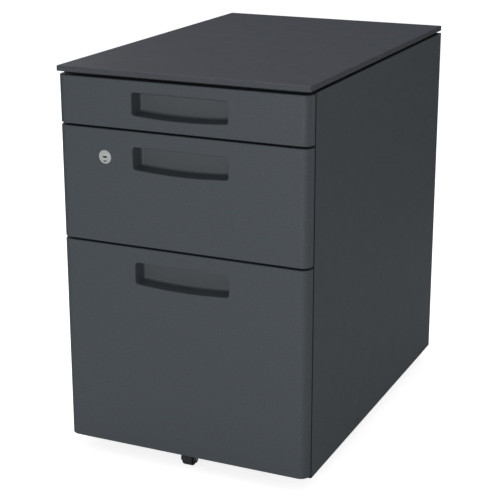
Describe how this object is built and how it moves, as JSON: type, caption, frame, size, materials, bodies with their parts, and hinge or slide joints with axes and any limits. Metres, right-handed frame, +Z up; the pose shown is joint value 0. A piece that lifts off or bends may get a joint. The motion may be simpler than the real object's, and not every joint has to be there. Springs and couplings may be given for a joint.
{
  "type": "mobile pedestal cabinet",
  "caption": "Steel under-desk pedestal on hidden casters with recessed-pull drawers, a cam lock, an anti-tip roller and a floating top board.",
  "frame": {"origin": "on the floor under the middle of the cabinet's outline, with the casters standing on it", "axes": "+Z up, the drawers open towards -Y, +X to the right of a person who faces the drawers"},
  "size_m": [0.395, 0.6, 0.6],
  "materials": {
    "case_paint": "fine satin powder coat, dark grey",
    "board_paint": "fine satin powder coat, dark grey",
    "core_board": "plain fibreboard",
    "box_paint": "thin satin paint, dark grey",
    "black_plastic": "moulded, lightly grained",
    "soft_black": "dull",
    "zinc_steel": "zinc plated",
    "lock_chrome": "satin nickel plate"
  },
  "bodies": {
    "cabinet": {"top_board": "board_paint", "board_core": "core_board", "board_spacers": "black_plastic", "board_screws": "zinc_steel", "left_side_panel": "case_paint", "right_side_panel": "case_paint", "top_panel": "case_paint", "back_panel": "case_paint", "base_pan": "case_paint", "rear_uprights": "box_paint", "drawer_bumpers": "soft_black", "lock_bar_guides": "black_plastic", "upper_slide_channels": "zinc_steel", "middle_slide_channels": "zinc_steel", "lower_slide_channels": "zinc_steel", "caster_stems": "zinc_steel", "caster_weld_nuts": "zinc_steel"},
    "upper_drawer": {"upper_drawer_front": "case_paint", "upper_drawer_inner_panel": "case_paint", "upper_pull_cup": "black_plastic", "upper_drawer_box": "box_paint", "upper_slide_rails": "zinc_steel", "upper_lock_catch": "zinc_steel", "pen_tray": "black_plastic"},
    "middle_drawer": {"middle_drawer_front": "case_paint", "middle_drawer_inner_panel": "case_paint", "middle_pull_cup": "black_plastic", "middle_drawer_box": "box_paint", "middle_slide_rails": "zinc_steel", "middle_lock_catch": "zinc_steel", "middle_drawer_divider": "box_paint", "lock_barrel": "lock_chrome", "lock_nut": "zinc_steel"},
    "lower_drawer": {"lower_drawer_front": "case_paint", "lower_drawer_inner_panel": "case_paint", "lower_pull_cup": "black_plastic", "lower_drawer_box": "box_paint", "lower_slide_rails": "zinc_steel", "lower_lock_catch": "zinc_steel", "file_follower_plate": "box_paint", "hanging_file_rails": "zinc_steel", "anti_tip_housing": "black_plastic", "anti_tip_axle": "zinc_steel"},
    "upper_ball_cages": {"upper_ball_cages": "zinc_steel"},
    "middle_ball_cages": {"middle_ball_cages": "zinc_steel"},
    "lower_slide_middles": {"lower_slide_middles": "zinc_steel"},
    "lower_outer_ball_cages": {"lower_outer_ball_cages": "zinc_steel"},
    "lower_inner_ball_cages": {"lower_inner_ball_cages": "zinc_steel"},
    "lock_plug": {"lock_plug": "lock_chrome", "lock_cam": "zinc_steel"},
    "lock_bar": {"lock_bar": "zinc_steel"},
    "anti_tip_wheel": {"anti_tip_wheel": "soft_black"},
    "front_left_caster_fork": {"front_left_caster_fork": "black_plastic"},
    "front_left_caster_wheels": {"front_left_caster_wheels": "soft_black"},
    "front_right_caster_fork": {"front_right_caster_fork": "black_plastic"},
    "front_right_caster_wheels": {"front_right_caster_wheels": "soft_black"},
    "rear_left_caster_fork": {"rear_left_caster_fork": "black_plastic"},
    "rear_left_caster_wheels": {"rear_left_caster_wheels": "soft_black"},
    "rear_right_caster_fork": {"rear_right_caster_fork": "black_plastic"},
    "rear_right_caster_wheels": {"rear_right_caster_wheels": "soft_black"}
  },
  "joints": [
    {"name": "upper_drawer_slide", "type": "slide", "parent": "cabinet", "child": "upper_drawer", "axis": [0, -1, 0], "range_m": [0, 0.38]},
    {"name": "middle_drawer_slide", "type": "slide", "parent": "cabinet", "child": "middle_drawer", "axis": [0, -1, 0], "range_m": [0, 0.38]},
    {"name": "lower_drawer_slide", "type": "slide", "parent": "cabinet", "child": "lower_drawer", "axis": [0, -1, 0], "range_m": [0, 0.48]},
    {"name": "upper_ball_cages_slide", "type": "slide", "parent": "cabinet", "child": "upper_ball_cages", "axis": [0, -1, 0], "range_m": [0, 0.19]},
    {"name": "middle_ball_cages_slide", "type": "slide", "parent": "cabinet", "child": "middle_ball_cages", "axis": [0, -1, 0], "range_m": [0, 0.19]},
    {"name": "lower_slide_middles_slide", "type": "slide", "parent": "cabinet", "child": "lower_slide_middles", "axis": [0, -1, 0], "range_m": [0, 0.24]},
    {"name": "lower_outer_ball_cages_slide", "type": "slide", "parent": "cabinet", "child": "lower_outer_ball_cages", "axis": [0, -1, 0], "range_m": [0, 0.12]},
    {"name": "lower_inner_ball_cages_slide", "type": "slide", "parent": "cabinet", "child": "lower_inner_ball_cages", "axis": [0, -1, 0], "range_m": [0, 0.36]},
    {"name": "lock_plug_turn", "type": "hinge", "parent": "middle_drawer", "child": "lock_plug", "pos_m": [-0.1211, -0.2795, 0.4719], "axis": [0, 1, 0], "range_deg": [0, 90]},
    {"name": "lock_bar_slide", "type": "slide", "parent": "cabinet", "child": "lock_bar", "axis": [0, 0, 1], "range_m": [0, 0.0114]},
    {"name": "anti_tip_wheel_spin", "type": "hinge", "parent": "lower_drawer", "child": "anti_tip_wheel", "pos_m": [0, -0.2812, 0.0111], "axis": [1, 0, 0], "continuous": true},
    {"name": "front_left_caster_swivel", "type": "hinge", "parent": "cabinet", "child": "front_left_caster_fork", "pos_m": [-0.149, -0.21, 0.05], "axis": [0, 0, 1], "continuous": true},
    {"name": "front_left_caster_wheels_spin", "type": "hinge", "parent": "front_left_caster_fork", "child": "front_left_caster_wheels", "pos_m": [-0.149, -0.195, 0.02], "axis": [1, 0, 0], "continuous": true},
    {"name": "front_right_caster_swivel", "type": "hinge", "parent": "cabinet", "child": "front_right_caster_fork", "pos_m": [0.149, -0.21, 0.05], "axis": [0, 0, 1], "continuous": true},
    {"name": "front_right_caster_wheels_spin", "type": "hinge", "parent": "front_right_caster_fork", "child": "front_right_caster_wheels", "pos_m": [0.149, -0.195, 0.02], "axis": [1, 0, 0], "continuous": true},
    {"name": "rear_left_caster_swivel", "type": "hinge", "parent": "cabinet", "child": "rear_left_caster_fork", "pos_m": [-0.149, 0.25, 0.05], "axis": [0, 0, 1], "continuous": true},
    {"name": "rear_left_caster_wheels_spin", "type": "hinge", "parent": "rear_left_caster_fork", "child": "rear_left_caster_wheels", "pos_m": [-0.149, 0.265, 0.02], "axis": [1, 0, 0], "continuous": true},
    {"name": "rear_right_caster_swivel", "type": "hinge", "parent": "cabinet", "child": "rear_right_caster_fork", "pos_m": [0.149, 0.25, 0.05], "axis": [0, 0, 1], "continuous": true},
    {"name": "rear_right_caster_wheels_spin", "type": "hinge", "parent": "rear_right_caster_fork", "child": "rear_right_caster_wheels", "pos_m": [0.149, 0.265, 0.02], "axis": [1, 0, 0], "continuous": true}
  ],
  "couplings": [
    {"joint": "upper_ball_cages_slide", "follows": "upper_drawer_slide", "ratio": 0.5},
    {"joint": "middle_ball_cages_slide", "follows": "middle_drawer_slide", "ratio": 0.5},
    {"joint": "lower_slide_middles_slide", "follows": "lower_drawer_slide", "ratio": 0.5},
    {"joint": "lower_outer_ball_cages_slide", "follows": "lower_drawer_slide", "ratio": 0.25},
    {"joint": "lower_inner_ball_cages_slide", "follows": "lower_drawer_slide", "ratio": 0.75},
    {"joint": "lock_bar_slide", "follows": "lock_plug_turn", "m_per_rad": 0.0072025}
  ]
}
